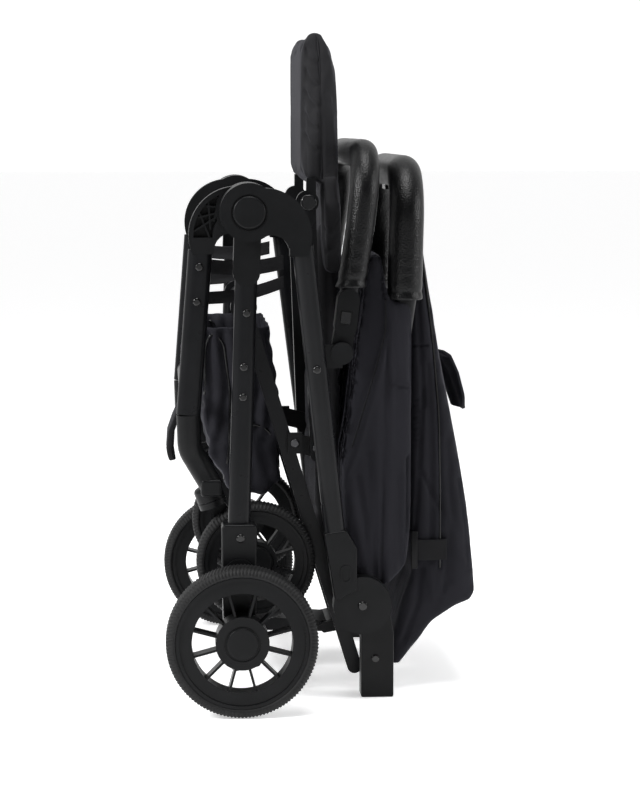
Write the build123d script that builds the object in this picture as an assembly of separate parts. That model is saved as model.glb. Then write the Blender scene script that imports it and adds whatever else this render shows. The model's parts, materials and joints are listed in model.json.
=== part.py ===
from build123d import *
from math import atan2, cos, degrees, hypot, radians, sin
import os

# Compact baby stroller, folded in three and standing on its rear wheels and handle feet.
# Millimetres. +Z up, -X is the stroller's front, the left side is at -Y.
# Origin: centre of the footprint, on the floor. Points in the side view are (x, z);
# distances to the side are given as a positive |y| and used for both sides.

# Rear wheels
WHEEL_R = 78.0
AXLE = (-90.0, WHEEL_R)
TYRE_IN, TYRE_OUT = 212.0, 245.0
RIM_R, RIM_OPEN_R = 68.0, 51.5
BARREL_R, CAP_R = 27.5, 16.7
SPOKES = 12
STUB_R = 6.0
RUNNING = 0.05

# Front wheels on casters
FRONT_R = 63.0
FRONT_AXLE = (-72.0, 144.3)
FRONT_IN, FRONT_OUT = 124.0, 150.0
FRONT_RIM_R, FRONT_OPEN_R = 54.0, 41.0
KINGPIN = (-118.5, 210.0)
KING_TILT = 20.0
KING_Y = 137.0
KING_R = 5.0

# Hinge line of the folding frame and the layers that turn about it
HUB = (-81.0, 514.0)
HUB_R = 29.6
HUB_PIN_R = 7.0
LOWER_IN, LOWER_OUT = 202.0, 220.0
REAR_IN, REAR_OUT = 181.0, 199.0
FRONT_ARM_IN, FRONT_ARM_OUT = 160.0, 178.0

# Tubes: wide in the side view, shallow across
REAR_TUBE, FRONT_TUBE, LOWER_TUBE = 23.0, 25.0, 22.0
TUBE_DEPTH, TUBE_WALL = 17.0, 1.6
REAR_FOOT = (-91.5, 188.0)
FRONT_TOP, FRONT_KNEE = (-129.3, 474.0), (-142.5, 304.0)
FRONT_CROSS = (-142.5, 318.0)
FRONT_CROSS_R = 8.5
LOWER_TOP, LOWER_END = (-26.8, 480.0), (9.0, 178.0)
LOWER_END_Y = 173.5

# Handle joint and upper handle
KNUCKLE = (37.5, 103.0)
KNUCKLE_R = 30.4
UPPER_Y = 148.0
UPPER_IN, UPPER_OUT = 137.0, 159.0
GRIP_START, GRIP_TOP = (83.5, 421.0), (86.5, 552.0)
UPPER_TUBE_R, GRIP_R = 12.5, 18.0
FOOT_LEFT, FOOT_RIGHT, FOOT_TOP = 38.0, 72.5, 68.0

# Bumper bar
BUMPER_JOINT = (14.5, 369.0)
BUMPER_Y = 178.0
BUMPER_LINE = ((19.0, 396.0), (22.0, 423.0), (34.0, 495.0), (41.0, 572.5))
BUMPER_R, BUMPER_TUBE_R = 14.5, 10.0

# Seat, leg rest, backrest
SEAT_PIVOT = (-83.0, 411.0)
CROSS_R = 8.0
RAIL_END = (34.5, 24.0)
RAIL_IN, RAIL_OUT = 104.0, 116.0
SEAT_TUBE_IN, SEAT_TUBE_OUT = 118.0, 128.0
REST_PIVOT = (-15.5, 521.0)
REST_KNUCKLE_R = 12.0
RAIL_BRACKET = (-29.5, 267.0)
PAD_HALF = 100.0
CANOPY_HALF = 133.0
REST_HALF = 112.0
RECLINE = (84.0, 66.0)
CANOPY_PIVOT = (53.7, 221.0)

# Axle beam, brake, basket
BEAM = (-84.0, 54.0)
BEAM_R = 11.0
BASKET_HALF = 98.0
BASKET_WALL = 3.5
BACK_HALF = 125.0
TAB_HALF = 34.0
PULL_HALF = 20.0

nodes = {}


def side(y):
    """Plane of the side view at height y, whose normal points out of the left side."""
    return Plane(origin=(0, y, 0), x_dir=(1, 0, 0), z_dir=(0, -1, 0))


def slab(outline, inner, outer):
    """Left-hand plate with a side-view outline, from |y| inner to outer."""
    return extrude(side(-inner) * outline, amount=outer - inner)


def polygon(*points):
    """Closed side-view face with straight edges."""
    return make_face(Polyline(*points, close=True))


def across(outline, half):
    """Solid with a side-view outline that reaches from |y| half on one side to the other."""
    return extrude(side(half) * outline, amount=2 * half)


def pipe(centre, radius, bore):
    """Side-view ring."""
    return Pos(*centre) * (Circle(radius) - Circle(bore))


def disc(centre, radius, inner, outer):
    return slab(Pos(*centre) * Circle(radius), inner, outer)


def both(*shapes):
    """The left-hand shapes and their mirror images, as separate solids."""
    found = []
    for shape in shapes:
        found += list(shape.solids())
        found += list(mirror(shape, about=Plane.XZ).solids())
    return found


def add(name, *shapes):
    solids = []
    for shape in shapes:
        solids += shape if isinstance(shape, list) else list(shape.solids())
    nodes[name] = solids


def oval_tube(start, end, start_y, end_y, width, depth=TUBE_DEPTH, wall=TUBE_WALL):
    """Straight flat-oval tube between two side-view points."""
    a = Vector(start[0], -start_y, start[1])
    axis = Vector(end[0], -end_y, end[1]) - a
    wide = Vector(0, 1, 0).cross(axis).normalized()
    section = SlotOverall(width, depth)
    section -= SlotOverall(width - 2 * wall, depth - 2 * wall)
    return extrude(Plane(origin=a, x_dir=wide, z_dir=axis) * section, amount=axis.length)


def bar(start, end, width, inner, outer):
    """Left-hand flat bar with round ends."""
    run = (end[0] - start[0], end[1] - start[1])
    middle = ((start[0] + end[0]) / 2, (start[1] + end[1]) / 2)
    outline = SlotOverall(hypot(*run) + width, width)
    return slab(Pos(*middle) * Rot(0, 0, degrees(atan2(run[1], run[0]))) * outline, inner, outer)


def rivet(centre, face, radius=4.2, height=2.2):
    """Domed rivet head on an outer face at |y| face."""
    head = disc(centre, radius, face, face + height)
    return fillet(head.edges().filter_by(GeomType.CIRCLE).group_by(Axis.Y)[0], height * 0.8)


def round_over(solid, radius, y_face):
    """Round the outer rim of a left-hand plate at |y| y_face."""
    rim = solid.faces().sort_by(Axis.Y)[0].outer_wire().edges()
    for share in (1.0, 0.6, 0.35):
        try:
            return fillet(rim, radius * share)
        except ValueError:
            continue
    return solid


def along(start, end, share):
    return tuple(start[i] + (end[i] - start[i]) * share for i in (0, 1))


# ---------------------------------------------------------------- wheels

def wheel(centre, radius, rim_r, open_r, barrel_r, inner, outer, spokes, bore):
    """Tyre, spoked rim and hub cap of a left-hand wheel."""
    tyre = disc(centre, radius, inner, outer)
    shoulders = [e for e in tyre.edges().filter_by(GeomType.CIRCLE) if abs(e.radius - radius) < 0.01]
    tyre = fillet(shoulders, (radius - rim_r) * 0.62)
    tyre -= disc(centre, rim_r, inner - 1, outer + 1)
    width = outer - inner
    ring = Pos(*centre) * (Circle(rim_r) - Circle(open_r))
    rim = slab(ring, inner + width * 0.16, outer - width * 0.1)
    lip = Pos(*centre) * (Circle(rim_r) - Circle(rim_r - 3.5))
    rim += slab(lip, inner + width * 0.08, outer - width * 0.04)
    rim += disc(centre, barrel_r, inner + width * 0.1, outer - width * 0.06)
    for k in range(spokes):
        angle = 360.0 / spokes * (k + 0.5)
        fin = Rot(0, 0, angle) * Pos((barrel_r + open_r) / 2, 0) * Rectangle(open_r - barrel_r + 6, 2.4)
        rim += slab(Pos(*centre) * fin, inner + width * 0.34, outer - width * 0.14)
    groove = Pos(*centre) * (Circle(CAP_R + 2) - Circle(CAP_R))
    rim -= slab(groove, outer - width * 0.06 - 1.4, outer)
    rim -= disc(centre, bore + RUNNING, inner - 1, outer - width * 0.34)
    cap = disc(centre, CAP_R - 0.6, outer - width * 0.06, outer - width * 0.06 + 1.6)
    cap = fillet(cap.edges().filter_by(GeomType.CIRCLE).group_by(Axis.Y)[0], 1.2)
    return tyre, rim, cap


def make_wheels():
    rear = wheel(AXLE, WHEEL_R, RIM_R, RIM_OPEN_R, BARREL_R, TYRE_IN, TYRE_OUT, SPOKES, STUB_R)
    front = wheel(FRONT_AXLE, FRONT_R, FRONT_RIM_R, FRONT_OPEN_R, 22.0, FRONT_IN, FRONT_OUT, 10, KING_R)
    for name, pieces in (("rear", rear), ("front", front)):
        for hand, flip in (("left", False), ("right", True)):
            tyre, rim, cap = (mirror(p, about=Plane.XZ) if flip else p for p in pieces)
            add(f"{name}_tyre_{hand}", tyre)
            add(f"{name}_rim_{hand}", rim, cap)


# ---------------------------------------------------------------- rear frame

def make_rear_frame():
    leg_top = along(HUB, REAR_FOOT, 0.085)
    leg = oval_tube(leg_top, REAR_FOOT, 190, 190, REAR_TUBE)
    add("rear_leg_tubes", both(leg))

    socket = bar(HUB, along(HUB, REAR_FOOT, 0.19), REAR_TUBE + 4.5, REAR_IN, REAR_OUT)
    plate = disc(HUB, HUB_R, REAR_IN, REAR_OUT) + socket
    plate -= core(leg_top, REAR_FOOT, 190, 190, REAR_TUBE)
    plate -= disc(HUB, HUB_PIN_R, REAR_IN - 1, REAR_OUT + 1)
    add("rear_hub_plates", both(plate))

    outline = polygon((REAR_FOOT[0] - 18, 194), (REAR_FOOT[0] + 18, 194), (REAR_FOOT[0] + 17, 140),
                      (AXLE[0] + 16, AXLE[1]), (BEAM[0] + 15, 46), (BEAM[0] - 15, 40),
                      (AXLE[0] - 18, AXLE[1]), (REAR_FOOT[0] - 18, 140))
    block = slab(fillet(outline.vertices(), 4.5), 177.0, 205.0)
    block = fillet(block.faces().sort_by(Axis.Y)[0].edges(), 2.0)
    arch = Pos(REAR_FOOT[0], 143.5) * Circle(15.5)
    block += slab(arch, 204.0, 209.0)
    block += disc(AXLE, 17.0, 204.0, 211.0)
    block -= core(REAR_FOOT, leg_top, 190, 190, REAR_TUBE)
    block -= disc(AXLE, STUB_R, 176.0, 212.0)
    block -= disc(BEAM, BEAM_R, 176.0, 200.0)
    add("wheel_blocks", both(block))

    stub_end = TYRE_OUT - (TYRE_OUT - TYRE_IN) * 0.34 - 0.6
    add("rear_stub_axles", both(disc(AXLE, STUB_R, 178.0, stub_end)))

    add("rear_axle_beam", across(pipe(BEAM, BEAM_R, BEAM_R - 2), 199.5))
    add("seat_cross_tube", across(pipe(SEAT_PIVOT, CROSS_R, CROSS_R - 1.8), REAR_IN - 0.4))

    pin = disc(HUB, HUB_PIN_R, FRONT_ARM_IN - 2, LOWER_OUT - 2.6)
    pin += disc(HUB, HUB_PIN_R + 4, FRONT_ARM_IN - 5, FRONT_ARM_IN - 0.6)
    add("hub_pins", both(pin))

    heads = [rivet(p, 190 + TUBE_DEPTH / 2) for p in
             (SEAT_PIVOT, along(HUB, REAR_FOOT, 0.485), along(HUB, REAR_FOOT, 0.58))]
    heads.append(rivet((REAR_FOOT[0] + 1, 180.0), 205.0, 4.6))
    add("rear_rivets", both(*heads))

    upper = polygon((-118, 463), (-43, 466), (-43, 453), (-118, 446))
    lower = polygon((-121, 430), (-43, 446), (-43, 433), (-121, 417))
    add("side_webbing", both(slab(upper, 150.0, 152.0), slab(lower, 150.0, 152.0)))


def core(start, end, start_y, end_y, width, depth=TUBE_DEPTH):
    """Solid that an oval tube fills, for cutting its socket."""
    a = Vector(start[0], -start_y, start[1])
    axis = Vector(end[0], -end_y, end[1]) - a
    wide = Vector(0, 1, 0).cross(axis).normalized()
    return extrude(Plane(origin=a, x_dir=wide, z_dir=axis) * SlotOverall(width, depth), amount=axis.length)


def make_brake():
    half, tread_half = 30.0, 35.0
    arm = polygon((BEAM[0] + 12, 62), (10, 56), (32, 62), (33.5, 57), (10, 44), (BEAM[0] + 12, 47))
    pedal = across(arm, half) + across(pipe(BEAM, BEAM_R + 4, BEAM_R + RUNNING), half)
    tread = polygon((2, 54), (33.5, 61), (33.5, 48), (6, 43))
    pedal += across(fillet(tread.vertices(), 3), tread_half)
    for x in (8.0, 15.0, 22.0, 29.0):
        pedal -= across(Pos(x, 56 + x * 0.2) * Rectangle(2.5, 3), tread_half - 4)
    pedal -= across(Pos(*BEAM) * Circle(BEAM_R + RUNNING), half + 1)
    add("brake_pedal", pedal)


# ---------------------------------------------------------------- front frame

def make_front_frame():
    centre = (-91.0, 489.0)
    sector = Pos(*centre) * Circle(50.5) & Pos(-122.0, 505.0) * Rectangle(62, 70)
    sector -= Pos(-97.0, 473.0) * Circle(18.5)
    sector -= Pos(-102.0, 470.0) * Rectangle(27.0, 16.0)
    arm = sector + Pos(*HUB) * Circle(HUB_R)
    plate = slab(arm, FRONT_ARM_IN, FRONT_ARM_OUT)
    pocket = Pos(*centre) * (Circle(45.5) - Circle(26.0)) & Pos(-130.0, 512.0) * Rectangle(66, 50)
    pocket -= Pos(*HUB) * Circle(HUB_R + 3)
    plate -= slab(pocket, FRONT_ARM_OUT - 9, FRONT_ARM_OUT + 1)
    lattice = Part()
    for angle in (108.0, 126.0, 144.0, 162.0):
        spot = (centre[0] + 36 * cos(radians(angle)), centre[1] + 36 * sin(radians(angle)))
        for turn in (50.0, -50.0):
            rib = Pos(*spot) * Rot(0, 0, angle + turn) * Rectangle(30, 1.8)
            lattice += slab(rib, FRONT_ARM_OUT - 9.5, FRONT_ARM_OUT - 1)
    plate += lattice & slab(pocket, FRONT_ARM_OUT - 9.5, FRONT_ARM_OUT - 1)
    plate -= disc(HUB, HUB_PIN_R + RUNNING, FRONT_ARM_IN - 1, FRONT_ARM_OUT + 1)
    plate -= core(FRONT_TOP, FRONT_KNEE, 169, 169, FRONT_TUBE)
    add("front_arm_castings", both(plate))

    add("front_leg_tubes", both(oval_tube(FRONT_TOP, FRONT_KNEE, 169, 169, FRONT_TUBE)))

    bend = (-141.5, 268.0)
    path = FilletPolyline((FRONT_KNEE[0], -169, FRONT_KNEE[1]), (bend[0], -167, bend[1]),
                          (-118, -150, 226), radius=26)
    start = Plane(origin=path @ 0, x_dir=(1, 0, 0), z_dir=path % 0)
    elbow = sweep(start * SlotOverall(FRONT_TUBE, TUBE_DEPTH + 3), path=path)
    elbow -= core(FRONT_TOP, FRONT_KNEE, 169, 169, FRONT_TUBE)
    add("front_elbows", both(elbow))

    lean = radians(KING_TILT)
    tilt = Plane(origin=(KINGPIN[0], -KING_Y, KINGPIN[1]), x_dir=(cos(lean), 0, sin(lean)),
                 z_dir=(-sin(lean), 0, cos(lean)))
    dome = extrude(tilt * Circle(15.0), amount=16)
    dome = fillet(dome.edges().filter_by(GeomType.CIRCLE).group_by(Axis.Z)[-1], 5)
    link = Pos(-119, -150, 226) * Box(22, 30, 18)
    dome += fillet(link.edges(), 3)
    dome -= elbow
    dome -= extrude(tilt * Circle(KING_R + RUNNING), amount=13)
    add("caster_housings", both(dome))

    add("front_cross_tube", across(pipe(FRONT_CROSS, FRONT_CROSS_R, FRONT_CROSS_R - 2), 160.5))

    heads = [rivet(along(FRONT_TOP, FRONT_KNEE, s), 169 + TUBE_DEPTH / 2) for s in (0.1, 0.31)]
    add("front_rivets", both(*heads))
    make_casters(tilt)


def make_casters(tilt):
    """Single-arm forks inside the front wheels, each with its kingpin and axle."""
    pin = Pos(tilt.z_dir * -3.0) * extrude(tilt * Circle(KING_R), amount=15)
    crown = extrude(tilt * Circle(15.0), amount=-6.5)
    crown = Pos(tilt.z_dir * -0.6) * crown
    arm = bar((KINGPIN[0] + 4, KINGPIN[1] - 6), FRONT_AXLE, 17, 117.0, 121.6)
    bridge = Pos(KINGPIN[0] + 3, KINGPIN[1] - 4.5) * Rot(0, 0, KING_TILT) * Rectangle(16, 6)
    bridge = slab(bridge, 117.5, KING_Y)
    axle = disc(FRONT_AXLE, KING_R, 118.0, FRONT_OUT - (FRONT_OUT - FRONT_IN) * 0.34 - 0.6)
    fork = crown + arm + bridge + pin + axle
    wheel_room = disc(FRONT_AXLE, FRONT_R + 2.5, FRONT_IN - 1.0, FRONT_OUT + 1.0)
    fork -= wheel_room - disc(FRONT_AXLE, KING_R + 4, 100, 160)
    add("caster_fork_left", fork)
    add("caster_fork_right", mirror(fork, about=Plane.XZ))


# ---------------------------------------------------------------- lower handle

def make_lower_handle():
    centre = (-66.0, 490.0)
    sector = Pos(*centre) * Circle(48.5) & Pos(-41.0, 505.0) * Rectangle(50, 71)
    sector -= Pos(-58.0, 473.5) * Circle(17.5)
    sector -= Pos(-53.0, 470.0) * Rectangle(26.0, 16.0)
    arm = sector + Pos(*HUB) * Circle(HUB_R)
    plate = slab(arm, LOWER_IN, LOWER_OUT)
    plate = round_over(plate, 2.5, LOWER_OUT)
    groove = Pos(*HUB) * (Circle(CAP_R + 1.6) - Circle(CAP_R))
    plate -= slab(groove, LOWER_OUT - 2, LOWER_OUT + 1)
    plate -= disc(HUB, HUB_PIN_R + RUNNING, LOWER_IN - 1, LOWER_OUT - 2.4)
    socket = core(LOWER_TOP, LOWER_END, 211, LOWER_END_Y, LOWER_TUBE)
    plate -= socket
    add("lower_arm_castings", both(plate))
    cap = disc(HUB, CAP_R - 0.4, LOWER_OUT, LOWER_OUT + 2.2)
    add("hub_covers", both(fillet(cap.edges().filter_by(GeomType.CIRCLE).group_by(Axis.Y)[0], 1.6)))

    tube = oval_tube(LOWER_TOP, LOWER_END, 211, LOWER_END_Y, LOWER_TUBE)
    add("lower_handle_tubes", both(tube))

    body = polygon((-3, 180), (20, 183), (31.5, 163), (31.5, 120), (8.5, 108), (2, 150))
    cheek = slab(fillet(body.vertices(), 3.5), 164.0, 183.0)
    cheek += disc(KNUCKLE, KNUCKLE_R, 164.0, 181.0)
    cheek = round_over(cheek, 1.5, 183.0)
    cheek -= socket
    cheek += slab(Pos(20, 137) * Rot(0, 0, 90) * (SlotOverall(19, 12) - SlotOverall(15, 8)), 182.0, 184.2)
    cheek -= disc(KNUCKLE, HUB_PIN_R + RUNNING, 160.0, 179.0)
    add("fold_knuckles", both(cheek))
    heads = [rivet(along(LOWER_TOP, LOWER_END, 0.42), 204.8), rivet(KNUCKLE, 181.0, 5.0)]
    add("lower_rivets", both(*heads))


def make_bumper():
    joint = disc(BUMPER_JOINT, 11.5, 193.5, 199.0)
    lug = slab(Pos(3.0, 366.0) * Rectangle(24, 24), 193.5, 197.0)
    pin = disc(BUMPER_JOINT, 5.0, 176.0, 194.5)
    lug -= core(LOWER_TOP, LOWER_END, 211, LOWER_END_Y, LOWER_TUBE)
    add("bumper_brackets", both(joint + lug + pin))

    x0, z0 = BUMPER_LINE[0]
    shoe = bar(BUMPER_JOINT, (x0, z0), 21, 169.0, 187.0) + bar((x0, z0), BUMPER_LINE[1], 23, 168.0, 188.0)
    shoe -= disc(BUMPER_JOINT, 5.0 + RUNNING, 160, 200)
    window = Pos(19.0, 405.0) * Rot(0, 0, -8) * Rectangle(10.6, 12.6)
    shoe -= slab(window, 180.0, 200.0)
    tops = [(x, -BUMPER_Y, z) for x, z in BUMPER_LINE[1:]]
    near = tops + [(x, -y, z) for x, y, z in reversed(tops)]
    path = FilletPolyline(*near, radius=(70, 46, 46, 70))
    start = Plane(origin=path @ 0, z_dir=path % 0)
    cover = sweep(start * Circle(BUMPER_R), path=path)
    inner = sweep(start * Circle(BUMPER_TUBE_R), path=path)
    core_tube = inner - sweep(start * Circle(BUMPER_TUBE_R - 1.5), path=path)
    add("bumper_shoes", both(shoe - inner))
    add("bumper_tube", core_tube)
    add("bumper_cover", cover - inner - shoe - mirror(shoe, about=Plane.XZ))

    button = slab(Pos(19.0, 405.0) * Rot(0, 0, -8) * Rectangle(10, 12), 183.0, 189.6)
    add("bumper_button_left", button)
    add("bumper_button_right", mirror(button, about=Plane.XZ))


# ---------------------------------------------------------------- upper handle

def make_upper_handle():
    foot = polygon((FOOT_LEFT, 0), (FOOT_RIGHT, 0), (FOOT_RIGHT, FOOT_TOP), (67, 100), (30, 100),
                   (FOOT_LEFT, FOOT_TOP))
    cheek = slab(fillet(foot.vertices().group_by(Axis.Y)[0], 2.0), UPPER_IN, UPPER_OUT)
    cheek += disc(KNUCKLE, 27.5, UPPER_IN, UPPER_OUT)
    collar = along(KNUCKLE, GRIP_START, 0.2)
    cheek += bar(KNUCKLE, collar, 31, UPPER_IN, UPPER_OUT)
    cheek = round_over(cheek, 1.5, UPPER_OUT)
    cheek += disc(KNUCKLE, HUB_PIN_R, UPPER_OUT - 1, 178.0)
    tops = [(along(KNUCKLE, GRIP_START, 0.07)), GRIP_START, GRIP_TOP]
    near = [(x, -UPPER_Y, z) for x, z in tops]
    near += [(x, -y, z) for x, y, z in reversed(near)]
    path = FilletPolyline(*near, radius=(60, 52, 52, 60))
    start = Plane(origin=path @ 0, z_dir=path % 0)
    solid = sweep(start * Circle(UPPER_TUBE_R), path=path)
    tube = solid - sweep(start * Circle(UPPER_TUBE_R - 1.6), path=path)
    cheek -= solid
    add("handle_feet", both(cheek))
    add("upper_handle_tube", tube)
    sleeve_near = [(GRIP_START[0], -UPPER_Y, GRIP_START[1]), (GRIP_TOP[0], -UPPER_Y, GRIP_TOP[1])]
    sleeve_near += [(x, -y, z) for x, y, z in reversed(sleeve_near)]
    path = FilletPolyline(*sleeve_near, radius=52)
    start = Plane(origin=path @ 0, z_dir=path % 0)
    grip = sweep(start * Circle(GRIP_R), path=path) - solid
    window = Pos(GRIP_TOP[0], 0, GRIP_TOP[1] - GRIP_R) * Box(22.6, 42.6, 16)
    add("handle_grip", grip - window)
    slider = Pos(GRIP_TOP[0], 0, GRIP_TOP[1] - GRIP_R + 0.75) * Box(22, 42, 5.5)
    slider = fillet(slider.edges().filter_by(Axis.Z), 4) - solid
    add("fold_release_button", slider)
    add("foot_rivets", both(rivet((FOOT_LEFT + 15, 42.0), UPPER_OUT, 4.4)))


# ---------------------------------------------------------------- seat and leg rest

def make_seat():
    rail = bar(SEAT_PIVOT, RAIL_END, 15.5, RAIL_IN, RAIL_OUT)
    rail += disc(SEAT_PIVOT, 14.0, RAIL_IN, RAIL_OUT)
    rail -= disc(SEAT_PIVOT, CROSS_R + RUNNING, RAIL_IN - 1, RAIL_OUT + 1)
    add("seat_rails", both(rail))
    foot = (-6.0, 255.0)
    tube = bar(REST_PIVOT, foot, 15.0, SEAT_TUBE_IN, SEAT_TUBE_OUT)
    tube -= disc(REST_PIVOT, 5.0, SEAT_TUBE_IN - 1, SEAT_TUBE_OUT + 1)
    add("seat_tubes", both(tube))
    pin = disc(REST_PIVOT, 5.0, 109.0, SEAT_TUBE_OUT)
    plate = bar(RAIL_BRACKET, (-10.0, 262.0), 20.0, RAIL_OUT + 0.2, SEAT_TUBE_IN - 0.2)
    plate += slab(Pos(-29.5, 267.0) * Rectangle(15, 22), SEAT_TUBE_IN - 0.3, SEAT_TUBE_OUT - 4) - tube
    add("seat_brackets", both(plate))
    heads = [rivet(RAIL_BRACKET, SEAT_TUBE_OUT - 4, 4.6), rivet((-7.0, 262.0), SEAT_TUBE_OUT)]
    add("seat_pins", both(pin, *heads))
    outline = polygon((-6, 508), (14, 508), (21.5, 380), (21.5, 150), (14, 120), (-2, 120), (-6, 200))
    add("seat_pad", across(fillet(outline.vertices(), 5), PAD_HALF))


def make_leg_rest():
    outline = polygon((-19.5, 546), (-21.5, 640), (-19, 690), (-8, 701.5), (1, 700), (13, 672),
                      (17.5, 590), (16.5, 520), (1.5, 520), (0.5, 546))
    pad = across(fillet(outline.vertices(), 3.5), REST_HALF)
    add("leg_rest_pad", pad)
    ear = disc(REST_PIVOT, REST_KNUCKLE_R, 102.0, 112.0)
    ear += slab(Pos(-11.5, 538.0) * Rectangle(10.0, 24), 102.0, 112.0)
    hole = disc(REST_PIVOT, 5.0 + RUNNING, 108.0, 113.0)
    add("leg_rest_knuckles", both(ear - pad - hole))
    button = disc(REST_PIVOT, 8.4, SEAT_TUBE_OUT + 2.2, SEAT_TUBE_OUT + 6.4)
    button = fillet(button.edges().filter_by(GeomType.CIRCLE).group_by(Axis.Y)[0], 1.6)
    add("leg_rest_button_left", button)
    add("leg_rest_button_right", mirror(button, about=Plane.XZ))


# ---------------------------------------------------------------- soft parts on the upper handle

def make_canopy():
    """Folded hood above its pivots, and the skirt below that stays with the handle."""
    bundle = polygon((46, 466), (58, 474), (60, 424), (84, 410), (91, 380), (91, 236), (72, 213),
                     (36, 213), (26, 236), (30, 317), (38, 400))
    add("canopy_fabric", across(fillet(bundle.vertices(), 5), CANOPY_HALF))
    flank = polygon((56, 470), (50, 440), (40, 395), (35, 330), (28, 250), (38, 216), (76, 216),
                    (91, 250), (91, 380), (82, 410), (60, 418))
    add("canopy_side_panels", both(slab(fillet(flank.vertices(), 4), 161.0, 163.2)))
    skirt = polygon((44, 176), (86, 176), (90, 168), (88, 134), (62, 118), (42, 146))
    add("canopy_skirt", across(fillet(skirt.vertices(), 5), CANOPY_HALF))
    bow = bar(CANOPY_PIVOT, (54.0, 300.0), 9.0, CANOPY_HALF + 0.2, CANOPY_HALF + 2.2)
    add("canopy_bows", both(bow))


def make_backrest():
    shell = polygon((95.5, 478), (104.5, 482), (120.5, 377), (147.5, 230), (161.5, 121), (118.5, 89),
                    (80, 36), (76.5, 60), (95.5, 110))
    pad = across(fillet(shell.vertices(), 5), BACK_HALF)
    add("backrest_shell", pad)
    flap = polygon((140, 360), (168, 296), (166.6, 288), (146.5, 306), (127, 352))
    add("backrest_tab", across(flap, TAB_HALF) - pad)
    strap = slab(Pos(113, 150) * Rectangle(38, 22), 125.6, 128.0)
    buckle = slab(Pos(98, 152) * Rectangle(7, 40), 128.2, 131.0)
    add("recline_straps", both(strap, buckle))


def make_basket():
    outline = polygon((-128, 390), (-58, 390), (-40, 300), (-42, 225), (-58, 204), (-98, 210),
                      (-122, 250), (-130, 300), (-131, 328), (-145, 337), (-150, 352), (-144, 374))
    outer = fillet(outline.vertices(), 5)
    bag = across(outer, BASKET_HALF) - across(offset(outer, -BASKET_WALL), BASKET_HALF - BASKET_WALL)
    bag -= Pos(-93, 0, 390) * Box(58, 2 * BASKET_HALF - 20, 24)
    add("basket", bag)
    pull = across(Pos(-161, 252) * Rot(0, 0, 8) * Rectangle(3.0, 40), PULL_HALF)
    pull += across(polygon((-160, 270), (-142.5, 312), (-140, 309), (-158, 266)), PULL_HALF)
    add("front_pull_tab", pull - across(Pos(*FRONT_CROSS) * Circle(FRONT_CROSS_R), PULL_HALF + 10))


make_wheels()
make_rear_frame()
make_brake()
make_front_frame()
make_lower_handle()
make_bumper()
make_upper_handle()
make_seat()
make_leg_rest()
make_canopy()
make_backrest()
make_basket()

os.makedirs("parts", exist_ok=True)
for name, solids in nodes.items():
    shape = solids[0] if len(solids) == 1 else Compound(children=solids)
    export_step(shape, f"parts/{name}.step")
print(len(nodes), "nodes")
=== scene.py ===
"""Looks of a compact baby stroller, folded and standing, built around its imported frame.

Everything is in metres in the frame's own axes: +Z up, -X towards the stroller's front and
-Y its left side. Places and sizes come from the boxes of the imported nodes.
"""

from __future__ import annotations

import json
import logging
import math
from dataclasses import dataclass
from enum import Enum

import bmesh
import bpy
import numpy as np
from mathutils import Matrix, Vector, noise
from mathutils.bvhtree import BVHTree

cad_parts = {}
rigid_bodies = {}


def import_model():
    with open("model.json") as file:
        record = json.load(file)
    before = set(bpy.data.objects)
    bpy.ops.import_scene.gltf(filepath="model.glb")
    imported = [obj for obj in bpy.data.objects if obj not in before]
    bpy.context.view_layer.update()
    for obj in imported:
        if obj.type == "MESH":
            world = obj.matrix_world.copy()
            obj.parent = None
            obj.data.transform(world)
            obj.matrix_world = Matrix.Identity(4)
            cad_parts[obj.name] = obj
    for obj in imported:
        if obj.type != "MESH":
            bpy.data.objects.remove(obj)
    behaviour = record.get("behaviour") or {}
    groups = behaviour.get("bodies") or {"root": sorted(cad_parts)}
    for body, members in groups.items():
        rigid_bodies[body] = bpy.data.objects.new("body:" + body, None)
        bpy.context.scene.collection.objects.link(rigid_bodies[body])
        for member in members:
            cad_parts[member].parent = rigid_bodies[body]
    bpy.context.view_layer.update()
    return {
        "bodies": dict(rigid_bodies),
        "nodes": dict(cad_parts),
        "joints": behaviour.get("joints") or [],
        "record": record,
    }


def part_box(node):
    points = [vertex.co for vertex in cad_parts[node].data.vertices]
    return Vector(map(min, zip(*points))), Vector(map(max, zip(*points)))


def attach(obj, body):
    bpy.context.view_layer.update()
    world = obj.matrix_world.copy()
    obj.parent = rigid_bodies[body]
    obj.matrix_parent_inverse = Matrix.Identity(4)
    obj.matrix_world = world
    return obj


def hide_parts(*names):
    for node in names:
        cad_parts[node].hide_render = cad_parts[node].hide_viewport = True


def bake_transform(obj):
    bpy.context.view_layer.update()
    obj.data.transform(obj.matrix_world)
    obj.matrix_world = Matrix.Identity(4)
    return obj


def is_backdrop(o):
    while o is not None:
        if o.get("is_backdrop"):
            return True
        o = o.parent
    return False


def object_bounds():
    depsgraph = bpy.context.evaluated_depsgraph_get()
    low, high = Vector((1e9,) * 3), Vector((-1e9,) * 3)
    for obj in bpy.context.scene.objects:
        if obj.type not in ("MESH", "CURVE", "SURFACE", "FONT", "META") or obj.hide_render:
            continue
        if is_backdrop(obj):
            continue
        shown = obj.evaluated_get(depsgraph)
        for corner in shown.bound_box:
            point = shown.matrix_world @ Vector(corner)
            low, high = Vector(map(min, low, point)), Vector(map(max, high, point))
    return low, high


LOG = logging.getLogger("stroller")
MM = 0.001
SIDES = {"left": -1.0, "right": 1.0}
Point = tuple[float, float]
Line = tuple[Point, ...]
Colour = tuple[float, float, float]
Mesh = bmesh.types.BMesh
Piece = bpy.types.Object
Socket = bpy.types.NodeSocket


class Facing(Enum):
    """Which faces of a soft piece a fold lies on."""

    SIDE = "side"
    FRONT = "front"
    BACK = "back"


# Finishes


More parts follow.
